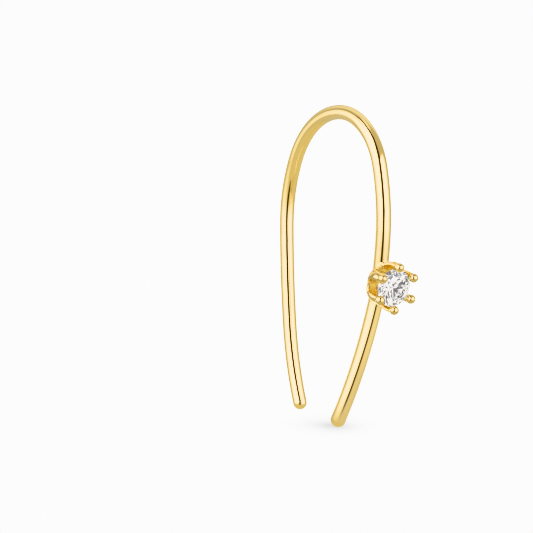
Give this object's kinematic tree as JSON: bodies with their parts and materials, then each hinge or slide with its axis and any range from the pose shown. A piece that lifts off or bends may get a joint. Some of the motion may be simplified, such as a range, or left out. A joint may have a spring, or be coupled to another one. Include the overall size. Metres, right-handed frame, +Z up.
{
  "type": "hook earring",
  "caption": "Open hook of round gold wire that hangs in a pierced ear, with a round cut stone held by ball-tipped claws on the outside of its front leg.",
  "frame": {"origin": "centre of the wire at the crown of the arch, where the hook hangs in the ear", "axes": "+Z up as it hangs worn, -Y to the front, the way the stone faces, with the back leg at +Y; the hook lies in the plane X = 0 and is the same on both sides of it"},
  "size_m": [0.003, 0.0137, 0.0211],
  "materials": {
    "gold": "polished",
    "stone": "polished"
  },
  "bodies": {
    "root": {"ear_hook": "gold", "stone": "stone"}
  },
  "joints": []
}
